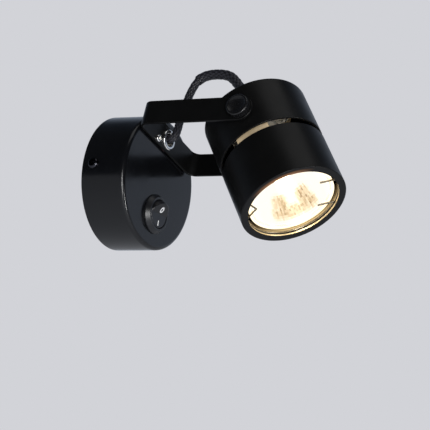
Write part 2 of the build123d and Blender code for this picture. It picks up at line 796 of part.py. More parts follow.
# Lampholder: a ceramic block with two curved slots for the lamp's pins and an ear at each side
clip_level = lip_back - fit - clip_wire / 2
lamp_front = clip_level - fit - clip_wire / 2
lamp_back = lamp_front - lamp_length
holder_front = lamp_back - seat
boss_back = frame_web - holder_boss_height
pin_room = pin_head / 2 + pin_play
pin_orbit = pin_spacing / 2
lead_places = [(side * lead_spacing / 2, 0) for side in (-1, 1)]
with BuildPart() as lampholder:
    with BuildSketch(head_plane.offset(frame_web)):
        RectangleRounded(holder_length, holder_width, holder_corner)
    extrude(amount=holder_front - frame_web)
    with BuildSketch(head_plane.offset(frame_web)):
        RectangleRounded(holder_ear_width, holder_ear_length, holder_ear_width / 2 - seat)
    extrude(amount=holder_ear_height)
    with BuildSketch(head_plane.offset(boss_back)):
        Circle(holder_boss / 2)
    extrude(amount=holder_boss_height)
    with BuildSketch(head_plane.offset(holder_front)):
        for start in (0, 180):
            with BuildLine():
                inside = CenterArc((0, 0), pin_orbit - pin_room, start, lamp_twist)
                outside = CenterArc((0, 0), pin_orbit + pin_room, start, lamp_twist)
                Line(inside @ 0, outside @ 0)
                Line(inside @ 1, outside @ 1)
            make_face()
            with Locations(polar(pin_orbit, start), polar(pin_orbit, start + lamp_twist)):
                Circle(pin_room)
    extrude(amount=-holder_pin_depth, mode=Mode.SUBTRACT)
    with BuildSketch(head_plane.offset(frame_web)):
        with Locations(*holder_screw_places):
            Circle(small_screw_diameter / 2 + fit)
    extrude(amount=holder_ear_height, mode=Mode.SUBTRACT)
    with BuildSketch(head_plane.offset(boss_back)):
        with Locations(*lead_places):
            Circle(lead_diameter / 2 + fit)
    extrude(amount=lead_in_holder, mode=Mode.SUBTRACT)
save(lampholder.part, "lampholder")

with BuildPart() as holder_screws:
    for place in holder_screw_places:
        ear_front = head_plane.offset(frame_web + holder_ear_height)
        add(small_screw(plane_at(ear_front, place), holder_screw_length))
save(holder_screws.part, "holder_screws")

flex_end = -head_back + flex_in_head
with BuildPart() as holder_leads:
    with BuildSketch(head_plane.offset(flex_end)):
        with Locations(*lead_places):
            Circle(lead_diameter / 2)
    extrude(amount=boss_back + lead_in_holder - flex_end)
save(holder_leads.part, "holder_leads")

# Lamp: a glass reflector closed by a front glass, on a ceramic base with two headed pins
lamp_radius = lamp_diameter / 2
neck_level = lamp_front - reflector_depth
neck_radius = reflector_neck / 2
glass_radius = lamp_radius - lamp_rim_land
glass_level = lamp_front - lamp_glass_seat


# The middle of a curve that bulges outwards between two points of a section
def bulged(start, end, bulge):
    run = Vector(end) - Vector(start)
    middle = (Vector(end) + Vector(start)) * 0.5
    return middle + Vector(-run.Y, run.X).normalized() * bulge


outer_top = (lamp_radius, lamp_front - lamp_rim)
outer_neck = (neck_radius, neck_level)
inner_top = (glass_radius - lamp_shell / 2, glass_level)
inner_neck = (neck_radius - lamp_shell, neck_level + lamp_shell)
with BuildPart() as lamp_reflector:
    with BuildSketch(head_section):
        with BuildLine():
            ThreePointArc(outer_top, bulged(outer_top, outer_neck, reflector_bulge), outer_neck)
            Polyline(
                outer_neck,
                (reflector_hole / 2, neck_level),
                (reflector_hole / 2, neck_level + lamp_shell),
                inner_neck,
            )
            ThreePointArc(inner_neck, bulged(inner_top, inner_neck, reflector_bulge), inner_top)
            Polyline(
                inner_top,
                (glass_radius, glass_level),
                (glass_radius, lamp_front),
                (lamp_radius, lamp_front),
                outer_top,
            )
        make_face()
    revolve(axis=lamp_axis)
save(lamp_reflector.part, "lamp_reflector")

with BuildPart() as lamp_glass:
    with BuildSketch(head_plane.offset(glass_level)):
        Circle(glass_radius - fit)
    extrude(amount=lamp_glass_thickness)
save(lamp_glass.part, "lamp_glass")

capsule_radius = capsule_diameter / 2
capsule_foot = neck_level - capsule_seat
with BuildPart() as lamp_base:
    with BuildSketch(head_plane.offset(lamp_back)):
        RectangleRounded(lamp_base_length, lamp_base_width, lamp_base_corner)
    extrude(amount=neck_level - lamp_back)
    with BuildSketch(head_plane.offset(capsule_foot)):
        Circle(capsule_radius + fit)
    extrude(amount=capsule_seat, mode=Mode.SUBTRACT)
save(lamp_base.part, "lamp_base")

capsule_dome = lamp_front - capsule_front - capsule_radius
with BuildPart() as lamp_capsule:
    with BuildSketch(head_section):
        with BuildLine():
            Polyline((0, capsule_foot), (capsule_radius, capsule_foot), (capsule_radius, capsule_dome))
            CenterArc((0, capsule_dome), capsule_radius, 0, 90)
            Line((0, capsule_dome + capsule_radius), (0, capsule_foot))
        make_face()
    revolve(axis=lamp_axis)
save(lamp_capsule.part, "lamp_capsule")

pin_places = [(side * pin_orbit, 0) for side in (-1, 1)]
with BuildPart() as lamp_pins:
    with BuildSketch(head_plane.offset(lamp_back)):
        with Locations(*pin_places):
            Circle(pin_neck / 2)
    extrude(amount=-pin_neck_length)
    with BuildSketch(head_plane.offset(lamp_back - pin_neck_length)):
        with Locations(*pin_places):
            Circle(pin_head / 2)
    extrude(amount=-(pin_length - pin_neck_length))
save(lamp_pins.part, "lamp_pins")

# Retaining wire: sprung into the collar behind the lip, with an inward kink and two inturned ends
clip_radius = collar_radius - fit - clip_wire / 2
kink_angle = clip_mouth_angle + 180
first_tip = clip_mouth_angle + clip_tip_half
first_arc = clip_mouth_angle + clip_mouth_half
last_tip = clip_mouth_angle - clip_tip_half
kink_start = kink_angle - clip_kink_half
kink_end = kink_angle + clip_kink_half
arc_size = kink_start - first_arc
with BuildPart() as retaining_clip:
    with BuildLine(head_plane.offset(clip_level)) as wire:
        Line(polar(clip_tip_radius, first_tip), polar(clip_radius, first_arc))
        CenterArc((0, 0), clip_radius, first_arc, arc_size)
        Line(polar(clip_radius, kink_start), polar(clip_kink_radius, kink_angle))
        Line(polar(clip_kink_radius, kink_angle), polar(clip_radius, kink_end))
        CenterArc((0, 0), clip_radius, kink_end, arc_size)
        Line(polar(clip_radius, kink_end + arc_size), polar(clip_tip_radius, last_tip))
    clip_path = wire.wires()[0]
    with BuildSketch(Plane(clip_path @ 0, z_dir=clip_path % 0)):
        Circle(clip_wire / 2)
    sweep(path=clip_path, transition=Transition.ROUND)
save(retaining_clip.part, "retaining_clip")

# Flex: a sleeve from the hub, arched over into a wider sleeve that enters the back of the head
lower_points = [hub - out * flex_tail]
lower_points += [yoke_side.from_local_coords((*corner, 0)) for corner in flex_rise]
upper_points = [yoke_side.from_local_coords((*corner, 0)) for corner in flex_fall]
upper_points += [pivot - head_axis * (head_back + step) for step in (flex_straight, -flex_in_head)]
sleeve_start = (lower_points[-1] + upper_points[0]) * 0.5
flex_radii = [flex_hub_bend, *corner_radii(lower_points + upper_points)[1:]]
print("flex corner radii", [round(radius, 1) for radius in flex_radii])
lower_corners = len(flex_rise)
flex_lower = round_tube([*lower_points, sleeve_start], flex_radii[:lower_corners], flex_lower_diameter)
flex_upper = round_tube([sleeve_start, *upper_points], flex_radii[lower_corners:], flex_upper_diameter)
save(flex_lower, "flex_lower")
save(flex_upper, "flex_upper")

# Leads inside the base: distances across, out from the wall and up from the base's centre
lead_height = pole_floor + fit + lead_diameter / 2
flex_start = base_depth - flex_tail
tab_tip = base_depth - switch_body_depth - tab_length
earth_lead_height = bracket_thickness + fit + lead_diameter / 2
earth_lead_end = earth_screw_z + small_head_diameter / 2 + fit
lead_routes = {
    "lead_neutral": [
        (pole_places[1], lead_height, block_rise),
        (pole_places[1], lead_height, 15),
        (-lead_spacing / 2, 10, hub_rise),
        (-lead_spacing / 2, flex_start, hub_rise),
    ],
    "lead_switched": [
        (-tab_spacing / 2, tab_tip, -switch_drop),
        (-tab_spacing / 2, 3.2, -switch_drop),
        (8, 2.2, -20.5),
        (19.5, 4.5, -9),
        (19.5, 9, 8),
        (9, 13, 20),
        (lead_spacing / 2, 12.5, hub_rise),
        (lead_spacing / 2, flex_start, hub_rise),
    ],
    "lead_live": [
        (pole_places[2], lead_height, block_rise),
        (pole_places[2], lead_height, -10),
        (tab_spacing / 2, 4.9, -switch_drop),
        (tab_spacing / 2, tab_tip, -switch_drop),
    ],
    "lead_earth": [
        (pole_places[0], lead_height, block_rise),
        (pole_places[0], lead_height, 13),
        (-13, 4.5, 17),
        (earth_screw_x, 2.9, 14.5),
        (earth_screw_x, earth_lead_height, earth_lead_end),
    ],
}
for name, route in lead_routes.items():
    lead_points = [Vector(x, -height, z) for x, height, z in route]
    save(round_tube(lead_points, corner_radii(lead_points), lead_diameter), name)
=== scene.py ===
import json
import math

import bpy
from mathutils import Matrix, Vector


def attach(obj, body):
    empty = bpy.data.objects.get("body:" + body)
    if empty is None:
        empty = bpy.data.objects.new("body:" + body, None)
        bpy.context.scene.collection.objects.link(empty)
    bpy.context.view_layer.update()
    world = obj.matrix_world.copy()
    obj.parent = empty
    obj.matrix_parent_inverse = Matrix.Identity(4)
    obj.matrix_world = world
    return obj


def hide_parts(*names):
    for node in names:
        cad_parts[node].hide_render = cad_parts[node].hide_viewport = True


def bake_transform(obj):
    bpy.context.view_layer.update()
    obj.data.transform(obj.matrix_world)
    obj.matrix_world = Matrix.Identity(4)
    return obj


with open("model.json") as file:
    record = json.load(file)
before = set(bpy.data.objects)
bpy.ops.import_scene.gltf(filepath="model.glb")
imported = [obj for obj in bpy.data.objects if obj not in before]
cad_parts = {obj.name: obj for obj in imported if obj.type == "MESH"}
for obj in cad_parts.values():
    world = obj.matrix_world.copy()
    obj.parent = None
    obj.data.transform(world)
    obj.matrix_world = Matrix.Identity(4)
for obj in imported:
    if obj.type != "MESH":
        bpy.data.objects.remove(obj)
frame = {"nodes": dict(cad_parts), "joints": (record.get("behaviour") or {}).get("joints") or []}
nodes = frame["nodes"]
joints = {joint["name"]: joint for joint in frame["joints"]}
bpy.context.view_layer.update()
mm = 0.001
print("frame loaded:", len(nodes), "nodes")

# Directions of the yoke and the head at rest, read from the joints
hubPoint = Vector(joints["yoke_swivel"]["pos_m"])
outDir = Vector(joints["yoke_swivel"]["axis"]).normalized()
acrossDir = Vector(joints["head_tilt"]["axis"]).normalized()
wideDir = outDir.cross(acrossDir).normalized()
pivotPoint = Vector(joints["head_tilt"]["pos_m"])
lampDir = Vector(joints["lamp_twist"]["axis"]).normalized()


def hexColor(code):
    # sRGB hex to the linear colour that the shaders use
    parts = [int(code[i:i + 2], 16) / 255 for i in (1, 3, 5)]
    linear = [p / 12.92 if p <= 0.04045 else ((p + 0.055) / 1.055) ** 2.4 for p in parts]
    return (*linear, 1.0)


def addNode(tree, kind, settings=None, inputs=None):
    # adds a node; an input is a value, or another node's output to link
    node = tree.nodes.new(kind)
    for name, value in (settings or {}).items():
        setattr(node, name, value)
    for key, value in (inputs or {}).items():
        if isinstance(value, bpy.types.NodeSocket):
            tree.links.new(value, node.inputs[key])
        else:
            node.inputs[key].default_value = value
    return node


def startMaterial(name):
    material = bpy.data.materials.new(name)
    material.use_nodes = True
    material.node_tree.nodes.clear()
    return material, material.node_tree


def endMaterial(tree, shader):
    addNode(tree, "ShaderNodeOutputMaterial", inputs={"Surface": shader.outputs[0]})


def deselectAll():
    if bpy.context.object and bpy.context.object.mode != "OBJECT":
        bpy.ops.object.mode_set(mode="OBJECT")
    bpy.ops.object.select_all(action="DESELECT")


def makeActive(piece):
    deselectAll()
    piece.select_set(True)
    bpy.context.view_layer.objects.active = piece


def applyAll(piece):
    # leaves the object at the origin, with its place in its mesh
    makeActive(piece)
    bpy.ops.object.transform_apply(location=True, rotation=True, scale=True)
    return piece


def paint(material, *pieces):
    for piece in pieces:
        piece.data.materials.clear()
        piece.data.materials.append(material)


# Camera, in metres and degrees; its lens and sensor are in mm
cameraSpot = {
    "target": (0.0323, -0.0503, -0.0103),
    "distance": 0.9,
    "nearest": 0.01,
    "azimuth": -59.76,  # from straight in front of the wall, towards the left
    "elevation": -14.2,
    "roll": 7.75,
    "lens": 125.3,
    "sensor": 36.0,
}


def addCamera():
    azimuth = math.radians(cameraSpot["azimuth"])
    elevation = math.radians(cameraSpot["elevation"])
    back = Vector((
        math.sin(azimuth) * math.cos(elevation),
        -math.cos(azimuth) * math.cos(elevation),
        math.sin(elevation),
    ))
    data = bpy.data.cameras.new("camera")
    data.lens = cameraSpot["lens"]
    data.sensor_width = cameraSpot["sensor"]
    data.clip_start = cameraSpot["nearest"]
    camera = bpy.data.objects.new("camera", data)
    bpy.context.scene.collection.objects.link(camera)
    roll = Matrix.Rotation(math.radians(cameraSpot["roll"]), 3, "Z")
    turn = back.to_track_quat("Z", "Y").to_matrix() @ roll
    spot = Vector(cameraSpot["target"]) + back * cameraSpot["distance"]
    camera.matrix_world = Matrix.Translation(spot) @ turn.to_4x4()
    bpy.context.scene.camera = camera


addCamera()
print("camera set")

# Flex: one smooth line from the hub to the head, in two braided sleeves.
# Points are distances in mm out from the base's front and up across the yoke from the hub.
flexRoute = {
    "tail": -8.5,  # end inside the hub
    "points": [(4.4, 0), (6.6, 3.6), (6.6, 16), (9.5, 36.7), (15.7, 44.3), (31.8, 44.0), (39.5, 37.9)],
    "headBack": 16.8,  # from the tilt pivot to the back of the head
    "straight": 12.0,  # run out of the head before the first bend
    "inHead": 1.6,
    "sleeveStart": (12.4, 40.2),
    "bendStart": (44.7, 58.8),  # the upper sleeve follows the yoke before this point
    "bendEnd": (65.8, 14.8),  # and the head after this one, and stays round between them
    "curveSteps": 48,
}
sleeveShape = {
    "lowerDiameter": 5.0,
    "upperDiameter": 6.2,
    "strands": 8,  # strands each way round the sleeve
    "pitch": 2.0,  # mm along the sleeve from one crossing to the next, coarse enough to show
    "depth": 0.4,  # mm from the top of a strand to the groove beside it
    "sides": 100,
    "step": 0.26,  # mm between rings
    "ragged": 1.1,  # mm, how unevenly the wider sleeve's cut end lies
    "raggedRun": 3.0,  # mm that the unevenness reaches along it
    "frayWaves": [(3, 1.0, 1), (7, 0.6, 0), (16, 0.4, 2)],  # waves round the cut end: how many, share, turn
    "fraySlip": 0.6,  # share of the unevenness along the sleeve
    "fraySpread": 0.12,  # and away from it
    "strandEnds": 0.55,  # height of a strand where it dives under another, as a share
    "evenStart": 1000,  # any large even number, so that strands are counted upwards
    "smoothBelow": 50.0,  # degrees
}


def yokePoint(out, wide):
    return hubPoint + outDir * out * mm + wideDir * wide * mm


def flexLine():
    points = [yokePoint(flexRoute["tail"], 0)] + [yokePoint(*p) for p in flexRoute["points"]]
    headBack = flexRoute["headBack"]
    for back in (headBack + flexRoute["straight"], headBack - flexRoute["inHead"]):
        points.append(pivotPoint - lampDir * back * mm)
    data = bpy.data.curves.new("flexLine", "CURVE")
    data.dimensions = "3D"
    spline = data.splines.new("NURBS")
    spline.points.add(len(points) - 1)
    for point, place in zip(spline.points, points):
        point.co = (*place, 1.0)
    spline.order_u = 3
    spline.use_endpoint_u = True
    spline.resolution_u = flexRoute["curveSteps"]
    line = bpy.data.objects.new("flexLine", data)
    bpy.context.scene.collection.objects.link(line)
    mesh = bpy.data.meshes.new_from_object(line)
    route = [v.co.copy() for v in mesh.vertices]
    bpy.data.meshes.remove(mesh)
    bpy.data.objects.remove(line)
    bpy.data.curves.remove(data)
    return route


def evenly(route, step):
    # the same line at even steps, so that the braid keeps its pitch
    spans = [(b - a).length for a, b in zip(route, route[1:])]
    total = sum(spans)
    count = max(2, round(total / step))
    points = []
    index, walked = 0, 0.0
    for i in range(count + 1):
        goal = total * i / count
        while index < len(spans) - 1 and walked + spans[index] < goal:
            walked += spans[index]
            index += 1
        points.append(route[index].lerp(route[index + 1], min(1.0, (goal - walked) / spans[index])))
    return points, total


def strandHeight(a, b):
    # two families of strands, each passing over and under the other
    over = (math.floor(a) + math.floor(b)) % 2 == 0
    across, along = (a % 1.0, b % 1.0) if over else (b % 1.0, a % 1.0)
    ends = sleeveShape["strandEnds"]
    return math.sqrt(math.sin(math.pi * across)) * (ends + (1 - ends) * math.sin(math.pi * along))


def braidedSleeve(name, route, diameter, ragged):
    points, length = evenly(route, sleeveShape["step"] * mm)
    sides = sleeveShape["sides"]
    radius = diameter / 2 * mm
    vertices, faces, heights = [], [], []
    for ring, point in enumerate(points):
        ahead = (points[min(ring + 1, len(points) - 1)] - points[max(ring - 1, 0)]).normalized()
        second = ahead.cross(acrossDir).normalized()
        done = length / mm * ring / (len(points) - 1)
        along = done / sleeveShape["pitch"]
        loose = max(0.0, 1 - done / sleeveShape["raggedRun"]) * ragged * mm
        for side in range(sides):
            angle = 2 * math.pi * side / sides
            turn = sleeveShape["strands"] * side / sides
            height = strandHeight(turn + along / 2, turn - along / 2 + sleeveShape["evenStart"])
            reach = radius - sleeveShape["depth"] * mm * (1 - height)
            fray = loose * sum(
                part * math.sin(waves * angle + shift) for waves, part, shift in sleeveShape["frayWaves"]
            )
            slip = ahead * fray * sleeveShape["fraySlip"]
            spoke = acrossDir * math.cos(angle) + second * math.sin(angle)
            vertices.append(point + slip + spoke * (reach + fray * sleeveShape["fraySpread"]))
            heights.append(height)
    for ring in range(len(points) - 1):
        for side in range(sides):
            a = ring * sides + side
            b = ring * sides + (side + 1) % sides
            faces.append((a, b, b + sides, a + sides))
    faces.append(tuple(range(sides))[::-1])
    faces.append(tuple(range(len(vertices) - sides, len(vertices))))
    mesh = bpy.data.meshes.new(name)
    mesh.from_pydata(vertices, [], faces)
    # strand height, which also sets the braid's painted shade in the grooves and painted sheen on the
    # crowns
    strand = mesh.attributes.new("strand", "FLOAT", "POINT")
    strand.data.foreach_set("value", heights)
    sleeve = bpy.data.objects.new(name, mesh)
    bpy.context.scene.collection.objects.link(sleeve)
    makeActive(sleeve)
    bpy.ops.object.mode_set(mode="EDIT")
    bpy.ops.mesh.select_all(action="SELECT")
    bpy.ops.mesh.normals_make_consistent(inside=False)
    bpy.ops.object.mode_set(mode="OBJECT")
    bpy.ops.object.shade_smooth_by_angle(angle=math.radians(sleeveShape["smoothBelow"]))
    return sleeve, points, length


def addFlex():
    route = flexLine()
    start = yokePoint(*flexRoute["sleeveStart"])
    cut = min(range(len(route)), key=lambda i: (route[i] - start).length)
    lower, lowerPoints, lowerLength = braidedSleeve(
        "flexLowerBraid", route[:cut + 1], sleeveShape["lowerDiameter"], 0.0,
    )
    upper, upperPoints, upperLength = braidedSleeve(
        "flexUpperBraid", route[cut:], sleeveShape["upperDiameter"], sleeveShape["ragged"],
    )
    for sleeve, node in ((lower, "flex_lower"), (upper, "flex_upper")):
        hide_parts(node)
    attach(lower, "yoke_arm")
    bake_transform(upper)
    print("flex laid, mm:", round(lowerLength / mm, 1), round(upperLength / mm, 1))
    return lower, upper


flexPieces = addFlex()

# Leads inside the base, in mm across, out from the wall and up from the base's centre
leadRoutes = {
    "lead_neutral": [(0, 5.75, 2), (0, 5.75, 15), (-1.2, 10, 27), (-1.2, 19.9, 27)],
    "lead_switched": [
        (-4, 8.1, -19), (-4, 3.2, -19), (8, 2.2, -20.5), (19.5, 4.5, -9),
        (19.5, 9, 8), (9, 13, 20), (1.2, 12.5, 27), (1.2, 19.9, 27),
    ],
    "lead_live": [(7, 5.75, 2), (7, 5.75, -10), (4, 4.9, -19), (4, 8.1, -19)],
    "lead_earth": [(-7, 5.75, 2), (-7, 5.75, 13), (-13, 4.5, 17), (-19, 2.9, 14.5), (-19, 2.45, 7.8)],
}
leadShape = {
    "diameter": 1.8,
    "roundSteps": 5,
    "curveSteps": 16,
    "smoothBelow": 50.0,  # degrees
}


def addLead(node, route):
    data = bpy.data.curves.new(node + "Wire", "CURVE")
    data.dimensions = "3D"
    data.bevel_depth = leadShape["diameter"] / 2 * mm
    data.bevel_resolution = leadShape["roundSteps"]
    data.use_fill_caps = True
    spline = data.splines.new("NURBS")
    spline.points.add(len(route) - 1)
    for point, (x, out, z) in zip(spline.points, route):
        point.co = (x * mm, -out * mm, z * mm, 1.0)
    spline.order_u = 3
    spline.use_endpoint_u = True
    spline.resolution_u = leadShape["curveSteps"]
    lead = bpy.data.objects.new(node + "Wire", data)
    bpy.context.scene.collection.objects.link(lead)
    makeActive(lead)
    bpy.ops.object.convert(target="MESH")
    lead = bpy.context.object
    bpy.ops.object.shade_smooth_by_angle(angle=math.radians(leadShape["smoothBelow"]))
    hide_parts(node)
    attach(lead, "base")
    return lead


leads = {node: addLead(node, route) for node, route in leadRoutes.items()}
print("leads laid:", len(leads))

# Marks on the rocker: an oval for off on the raised half, a stroke for on at the pressed half
rockerMarks = {
    "crease": 1.7,  # mm, faces' meeting line out from the rocker's pivot
    "raised": 32.0,  # degrees
    "offDistance": 2.9,  # mm, from the meeting line to the middle of a mark
    "onDistance": 5.5,
    "height": 3.8,
    "width": 3.0,
    "stroke": 0.8,
    "thick": 0.06,
    "lift": 0.4,  # share of the thickness that a mark starts above its face
    "onHeight": 0.82,  # length of the stroke, as a share of the oval's height
    "corner": 0.3,  # rounding of the stroke's corners, as a share of its width
    "ovalSides": 64,
    "smoothBelow": 40.0,  # degrees
}


def placeMark(mark, up, normal, origin):
    right = up.cross(normal).normalized()
    turn = Matrix((right, up, normal)).transposed().to_4x4()
    mark.matrix_world = Matrix.Translation(origin) @ turn
    applyAll(mark)
    bpy.ops.object.shade_smooth_by_angle(angle=math.radians(rockerMarks["smoothBelow"]))
    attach(mark, "rocker")
    return mark


def addMarks():
    pivot = Vector(joints["switch_rock"]["pos_m"])
    meeting = pivot + outDir * rockerMarks["crease"] * mm
    lift = math.radians(rockerMarks["raised"])
    upward = Vector((0, 0, 1))
    raisedUp = upward * math.cos(lift) + outDir * math.sin(lift)
    raisedNormal = outDir * math.cos(lift) - upward * math.sin(lift)
    rest = rockerMarks["thick"] * mm * rockerMarks["lift"]
    halfHeight = rockerMarks["height"] / 2 * mm
    thicken = {"value": (0, 0, rockerMarks["thick"] * mm)}
    # off: a ring drawn out to an oval
    deselectAll()
    bpy.ops.mesh.primitive_circle_add(
        vertices=rockerMarks["ovalSides"], radius=halfHeight, fill_type="NGON",
    )
    off = bpy.context.object
    off.name = "rockerMarkOff"
    bpy.ops.object.mode_set(mode="EDIT")
    bpy.ops.mesh.select_mode(type="FACE")
    bpy.ops.mesh.select_all(action="SELECT")
    bpy.ops.transform.resize(value=(rockerMarks["width"] / rockerMarks["height"], 1, 1))
    bpy.ops.mesh.inset(thickness=rockerMarks["stroke"] * mm, depth=0)
    bpy.ops.mesh.delete(type="FACE")
    bpy.ops.mesh.select_all(action="SELECT")
    bpy.ops.mesh.extrude_region_move(TRANSFORM_OT_translate=thicken)
    bpy.ops.mesh.select_all(action="SELECT")
    bpy.ops.mesh.normals_make_consistent(inside=False)
    bpy.ops.object.mode_set(mode="OBJECT")
    offSpot = meeting + raisedUp * rockerMarks["offDistance"] * mm + raisedNormal * rest
    placeMark(off, raisedUp, raisedNormal, offSpot)
    # on: one upright stroke with rounded corners
    deselectAll()
    bpy.ops.mesh.primitive_plane_add(size=1)
    on = bpy.context.object
    on.name = "rockerMarkOn"
    bpy.ops.object.mode_set(mode="EDIT")
    bpy.ops.mesh.select_mode(type="FACE")
    bpy.ops.mesh.select_all(action="SELECT")
    stroke = rockerMarks["stroke"] * mm
    bpy.ops.transform.resize(value=(stroke, rockerMarks["height"] * rockerMarks["onHeight"] * mm, 1))
    bpy.ops.mesh.bevel(offset=stroke * rockerMarks["corner"], segments=4, affect="VERTICES")
    bpy.ops.mesh.extrude_region_move(TRANSFORM_OT_translate=thicken)
    bpy.ops.mesh.select_all(action="SELECT")
    bpy.ops.mesh.normals_make_consistent(inside=False)
    bpy.ops.object.mode_set(mode="OBJECT")
    onSpot = meeting - upward * rockerMarks["onDistance"] * mm + outDir * rest
    placeMark(on, upward, outDir, onSpot)
    return off, on


marks = addMarks()
print("rocker marked")

# Facets pressed into the inside of the reflector, from its neck to the front glass
facetShape = {
    "neckRadius": 8.7,
    "mouthRadius": 22.4,
    "neckDepth": 30.4,  # mm behind the lamp's front
    "mouthDepth": 2.6,
    "bulge": 2.9,
    "rings": 20,
    "facets": 150,
    "dimSectors": 8,  # two of these sectors hold a painted dim reflection of the capsule's seal
    "sectorTurn": -10.5,  # degrees, the middle of the two dim sectors
    "dimReach": 41.0,  # degrees to each side of that middle
    "reachFade": 8.0,  # degrees over which the dim facets end
    "dimStart": 0.36,  # from here on, shares of the way from the neck to the mouth
    "startFade": 0.12,
    "dimEnd": 0.97,
    "endFade": 0.14,
    "joinStart": 0.6,  # the two sectors join nearer the mouth
    "joinFade": 0.12,
    "joinDim": 0.85,  # how dim the facets between the sectors are
    "columnLeast": 0.45,  # least dimming of a whole column of facets, and of one facet
    "facetLeast": 0.4,
    "skin": 0.25,
    "lampFront": 48.92,  # mm in front of the pivot
}


def clamp(value):
    return min(1.0, max(0.0, value))


def chanceOf(column, ring=0):
    # a number from 0 to 1 without order, the same at each run
    return math.sin(127.1 * column + 311.7 * ring) * 43758.5453 % 1.0


def facetProfile(share):
    # a point of the reflector's inside: radius and distance in front of the pivot
    wider = facetShape["mouthRadius"] - facetShape["neckRadius"]
    deeper = facetShape["neckDepth"] - facetShape["mouthDepth"]
    radius = facetShape["neckRadius"] + wider * share
    depth = facetShape["neckDepth"] - deeper * share
    swell = facetShape["bulge"] * 4 * share * (1 - share)
    run = Vector((wider, deeper)).normalized()
    return radius + run.y * swell, facetShape["lampFront"] - depth - run.x * swell


# painted reflection: how bright a facet's emission is, dimmer in the two sectors where the capsule's seal
# would be mirrored
def paintedFacetShine(centre):
    angle = math.atan2(centre.y, centre.x)
    neck, mouth = facetProfile(0)[1], facetProfile(1)[1]
    share = (centre.z / mm - neck) / (mouth - neck)
    column = int(angle / (2 * math.pi) * facetShape["facets"] + 1000.5)
    turned = angle - math.radians(facetShape["sectorTurn"])
    sector = 0.5 - 0.5 * math.cos(facetShape["dimSectors"] * turned)
    join = clamp((share - facetShape["joinStart"]) / facetShape["joinFade"])
    sector = max(sector, facetShape["joinDim"] * join)
    offset = abs((turned + math.pi) % (2 * math.pi) - math.pi)
    sector *= clamp((facetShape["dimReach"] - math.degrees(offset)) / facetShape["reachFade"])
    depth = clamp((facetShape["dimEnd"] - share) / facetShape["endFade"])
    depth *= clamp((share - facetShape["dimStart"]) / facetShape["startFade"])
    columnLeast, facetLeast = facetShape["columnLeast"], facetShape["facetLeast"]
    uneven = columnLeast + (1 - columnLeast) * chanceOf(column)
    uneven *= facetLeast + (1 - facetLeast) * chanceOf(column, int(share * facetShape["rings"]))
    return 1 - depth * sector * uneven


def addFacets():
    deselectAll()
    radius, level = facetProfile(0)
    bpy.ops.mesh.primitive_circle_add(
        vertices=facetShape["facets"], radius=radius * mm, location=(0, 0, 0),
    )
    facets = bpy.context.object
    facets.name = "reflectorFacets"
    bpy.ops.object.mode_set(mode="EDIT")
    bpy.ops.mesh.select_mode(type="EDGE")
    bpy.ops.mesh.select_all(action="SELECT")
    bpy.ops.transform.translate(value=(0, 0, level * mm))
    for ring in range(1, facetShape["rings"] + 1):
        nextRadius, nextLevel = facetProfile(ring / facetShape["rings"])
        rise = {"value": (0, 0, (nextLevel - level) * mm)}
        bpy.ops.mesh.extrude_region_move(TRANSFORM_OT_translate=rise)
        grow = nextRadius / radius
        bpy.ops.transform.resize(value=(grow, grow, 1), center_override=(0, 0, 0))
        radius, level = nextRadius, nextLevel
    bpy.ops.mesh.select_all(action="SELECT")
    bpy.ops.mesh.normals_make_consistent(inside=True)
    bpy.ops.object.mode_set(mode="OBJECT")
    # each facet keeps one number, from dim to bright, for the painted reflection of the capsule that it
    # emits, so that it differs from its neighbours
    paintedShine = facets.data.attributes.new("paintedShine", "FLOAT", "FACE")
    paintedShine.data.foreach_set("value", [paintedFacetShine(face.center) for face in facets.data.polygons])
    thick = facets.modifiers.new("skin", "SOLIDIFY")
    thick.thickness = facetShape["skin"] * mm
    thick.offset = -1
    bpy.ops.object.modifier_apply(modifier=thick.name)
    turn = Matrix((acrossDir, lampDir.cross(acrossDir), lampDir)).transposed().to_4x4()
    facets.matrix_world = Matrix.Translation(pivotPoint) @ turn
    applyAll(facets)
    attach(facets, "lamp")
    return facets


facets = addFacets()
print("reflector faceted:", len(facets.data.polygons))

# Sizes of the patterns in the materials, in mm
patternSize = {
    "enamelClouds": 14,
    "drawnLine": 0.25,
    "drawnRun": 6,
    "zincClouds": 5,
    "sheetBlotches": 4,
    "mouldClouds": 4,
    "chromeWaves": 2.5,
    "yarnFibre": 0.35,
    "steatiteSpeck": 0.6,
    "wipeMark": 3,
    "glassWave": 7,
    "inkSpeck": 0.5,
    "leadStripe": 9,
}

# Mouth of the ring, in mm: zones of bare metal, each out to a radius from the lamp's axis and between two
# distances in front of the pivot, and a painted glow of the lit lamp on one side of the lip, emitted by the
# enamel, from dark to warm
ringMouth = {
    "zones": [(26.8, 51.5, 52.4), (28.0, 44.0, 50.2)],
    "metal": "#e3d3b0",
    "paintedGlowTurn": 172.0,  # degrees round the lamp's axis
    "paintedGlowToward": (21.5, 27.2),  # distance from the axis to that side
    "paintedGlowReach": (29.6, 26.7),  # radius
    "paintedGlowLevel": (50.5, 51.5),  # distance in front of the pivot
    "paintedGlowColor": "#b07a4e",
    "paintedGlowStrength": 0.8,
}
